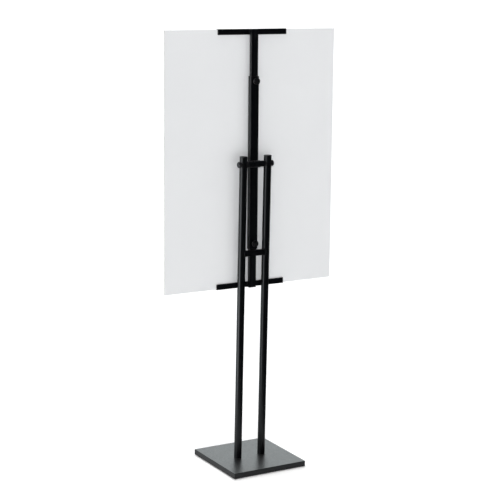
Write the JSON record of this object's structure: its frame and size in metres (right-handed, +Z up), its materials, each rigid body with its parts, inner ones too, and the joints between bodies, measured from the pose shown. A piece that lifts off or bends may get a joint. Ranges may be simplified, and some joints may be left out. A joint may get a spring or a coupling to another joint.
{
  "type": "sign stand",
  "caption": "Free-standing sign stand: square weighted base, twin round posts, a tilting mast that telescopes up and down, and clips that hold a rigid sign panel.",
  "frame": {"origin": "on the floor under the middle of the square base", "axes": "+Z up, +Y the way the sign faces, +X to the right seen from behind the sign"},
  "size_m": [0.696, 0.3, 1.5889],
  "materials": {
    "powder_coat": "satin",
    "black_plastic": "matte",
    "knob_plastic": "satin",
    "black_zinc": "gloss",
    "bright_zinc": "satin",
    "bare_iron": "matte",
    "rubber": "matte",
    "sign_panel": "matte"
  },
  "bodies": {
    "stand": {"base_cover": "powder_coat", "ballast_plate": "bare_iron", "rubber_feet": "rubber", "foot_screws": "bright_zinc", "left_post": "powder_coat", "right_post": "powder_coat", "left_post_foot_plug": "bright_zinc", "right_post_foot_plug": "bright_zinc", "left_post_cap": "black_plastic", "right_post_cap": "black_plastic", "post_bolts": "bright_zinc", "post_bolt_washers": "bright_zinc", "crossbar": "powder_coat", "crossbar_welds": "powder_coat", "crossbar_bumper": "rubber", "left_inner_saddle": "black_plastic", "left_outer_saddle": "black_plastic", "right_inner_saddle": "black_plastic", "right_outer_saddle": "black_plastic"},
    "mast": {"pivot_tube": "powder_coat", "pivot_sleeve": "powder_coat", "pivot_pin": "bright_zinc", "left_pivot_plug": "bright_zinc", "right_pivot_plug": "bright_zinc", "mast_tube": "powder_coat", "upper_mast_collar": "black_plastic", "lower_mast_collar": "black_plastic", "upper_clamp_boss": "powder_coat", "lower_clamp_boss": "powder_coat"},
    "left_tilt_screw": {"left_tilt_screw": "black_zinc"},
    "right_tilt_screw": {"right_tilt_screw": "black_zinc"},
    "upper_knob": {"upper_knob_head": "knob_plastic", "upper_knob_stud": "bright_zinc"},
    "lower_knob": {"lower_knob_head": "knob_plastic", "lower_knob_stud": "bright_zinc"},
    "upper_slide": {"upper_tube": "powder_coat", "top_clip_spacer": "powder_coat", "upper_tube_guide": "black_plastic", "upper_tube_cap": "black_plastic", "top_clip": "powder_coat", "top_clip_liner": "rubber", "top_clip_welds": "powder_coat"},
    "lower_slide": {"lower_tube": "powder_coat", "bottom_clip_spacer": "powder_coat", "lower_tube_guide": "black_plastic", "lower_tube_cap": "black_plastic", "bottom_clip": "powder_coat", "bottom_clip_liner": "rubber", "bottom_clip_welds": "powder_coat"},
    "sign": {"sign_board": "sign_panel"}
  },
  "joints": [
    {"name": "tilt", "type": "hinge", "parent": "stand", "child": "mast", "pos_m": [0, 0, 1.1135], "axis": [1, 0, 0], "range_deg": [0, 88.75]},
    {"name": "upper_telescope", "type": "slide", "parent": "mast", "child": "upper_slide", "axis": [0, 0.0218, 0.9998], "range_m": [0, 0.15]},
    {"name": "lower_telescope", "type": "slide", "parent": "mast", "child": "lower_slide", "axis": [0, 0.0218, 0.9998], "range_m": [-0.15, 0]},
    {"name": "sign_slide", "type": "slide", "parent": "lower_slide", "child": "sign", "axis": [1, 0, 0], "range_m": [-0.4875, 0.4875]},
    {"name": "upper_knob_turn", "type": "hinge", "parent": "mast", "child": "upper_knob", "pos_m": [0, 0.00731, 1.40711], "axis": [0, -0.9998, 0.0218], "range_deg": [0, 720]},
    {"name": "lower_knob_turn", "type": "hinge", "parent": "mast", "child": "lower_knob", "pos_m": [0, -0.00539, 0.82525], "axis": [0, -0.9998, 0.0218], "range_deg": [0, 720]},
    {"name": "left_tilt_screw_turn", "type": "hinge", "parent": "mast", "child": "left_tilt_screw", "pos_m": [-0.067, 0, 1.1135], "axis": [-1, 0, 0], "range_deg": [0, 360]},
    {"name": "right_tilt_screw_turn", "type": "hinge", "parent": "mast", "child": "right_tilt_screw", "pos_m": [0.067, 0, 1.1135], "axis": [1, 0, 0], "range_deg": [0, 360]}
  ]
}
